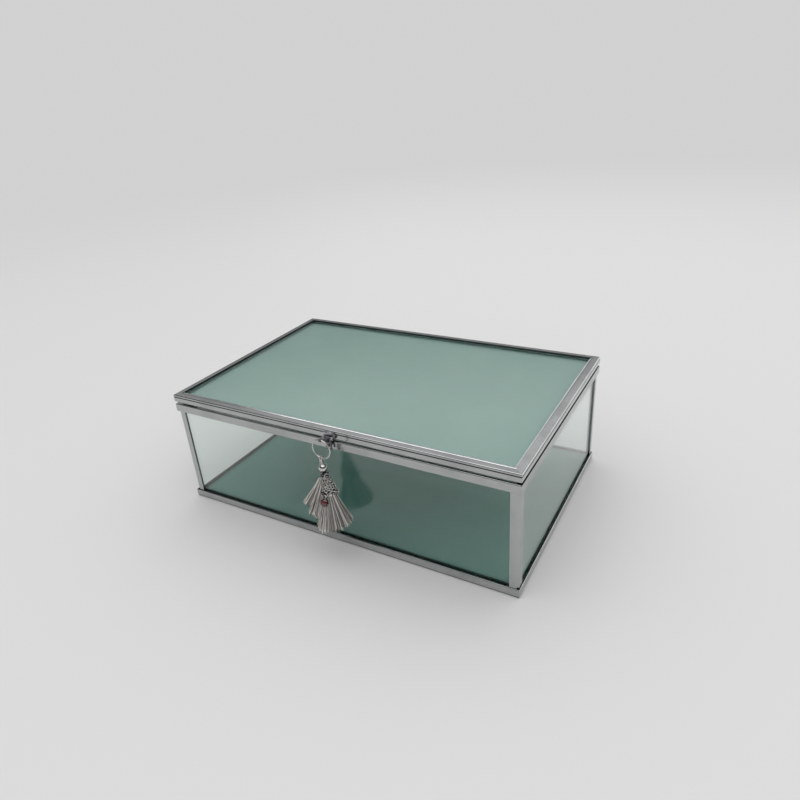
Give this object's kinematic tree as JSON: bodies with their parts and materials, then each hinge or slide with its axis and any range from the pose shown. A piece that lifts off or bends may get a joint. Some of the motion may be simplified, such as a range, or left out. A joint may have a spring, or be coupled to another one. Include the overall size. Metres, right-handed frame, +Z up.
{
  "type": "vanity trinket box",
  "caption": "Low rectangular glass trinket box in a folded metal frame, with a mint lined lid and base, a hinged lid, a hasp on a peg, a jump ring and a thread tassel.",
  "frame": {"origin": "middle of the underside, in the plane that the bottom rails stand on", "axes": "+X along the box's width to its right, -Y towards the front with the clasp, +Z up"},
  "size_m": [0.2, 0.1547, 0.067],
  "materials": {
    "polished_frame": "polished",
    "clear_glass": "clear, green edge",
    "mint_lining": "matte",
    "darkened_steel": "darkened",
    "antique_silver": "antiqued",
    "red_stone": "polished",
    "silver_thread": "satin thread"
  },
  "bodies": {
    "case": {"bottom_rail_front": "polished_frame", "bottom_rail_right": "polished_frame", "bottom_rail_rear": "polished_frame", "bottom_rail_left": "polished_frame", "corner_post_front_right": "polished_frame", "corner_post_rear_right": "polished_frame", "corner_post_rear_left": "polished_frame", "corner_post_front_left": "polished_frame", "top_rail_front": "polished_frame", "top_rail_right": "polished_frame", "top_rail_rear": "polished_frame", "top_rail_left": "polished_frame", "pane_front": "clear_glass", "pane_right": "clear_glass", "pane_rear": "clear_glass", "pane_left": "clear_glass", "base_lining": "mint_lining", "base_glass": "clear_glass", "hinge_case_leaf_left": "polished_frame", "hinge_case_leaf_right": "polished_frame", "hinge_pin_left": "polished_frame", "hinge_pin_right": "polished_frame", "catch_peg": "darkened_steel"},
    "lid": {"lid_rail_front": "polished_frame", "lid_rail_right": "polished_frame", "lid_rail_rear": "polished_frame", "lid_rail_left": "polished_frame", "lid_lining": "mint_lining", "lid_glass": "clear_glass", "hinge_lid_leaf_left": "polished_frame", "hinge_lid_leaf_right": "polished_frame", "clasp_plate": "darkened_steel", "clasp_pin": "polished_frame"},
    "hasp": {"hasp_tongue": "darkened_steel", "ring_arm": "darkened_steel"},
    "ring": {"jump_ring": "antique_silver"},
    "tassel": {"tassel_eye_pin": "antique_silver", "tassel_bead": "antique_silver", "tassel_cap": "antique_silver", "tassel_stone": "red_stone", "tassel_core": "silver_thread", "tassel_fringe": "silver_thread"}
  },
  "joints": [
    {"name": "lid_hinge", "type": "hinge", "parent": "case", "child": "lid", "pos_m": [0, 0.0672, 0.06205], "axis": [-1, 0, 0], "range_deg": [0, 105]},
    {"name": "hasp_lift", "type": "hinge", "parent": "lid", "child": "hasp", "pos_m": [0.0042, -0.0663, 0.0636], "axis": [-1, 0, 0], "range_deg": [0, 60]},
    {"name": "ring_swing", "type": "hinge", "parent": "hasp", "child": "ring", "pos_m": [0.0042, -0.0725, 0.0657], "axis": [-1, 0, 0], "range_deg": [0, 60]},
    {"name": "tassel_swing", "type": "hinge", "parent": "ring", "child": "tassel", "pos_m": [0.003, -0.0725, 0.0559], "axis": [-1, 0, 0], "range_deg": [0, 40]}
  ]
}
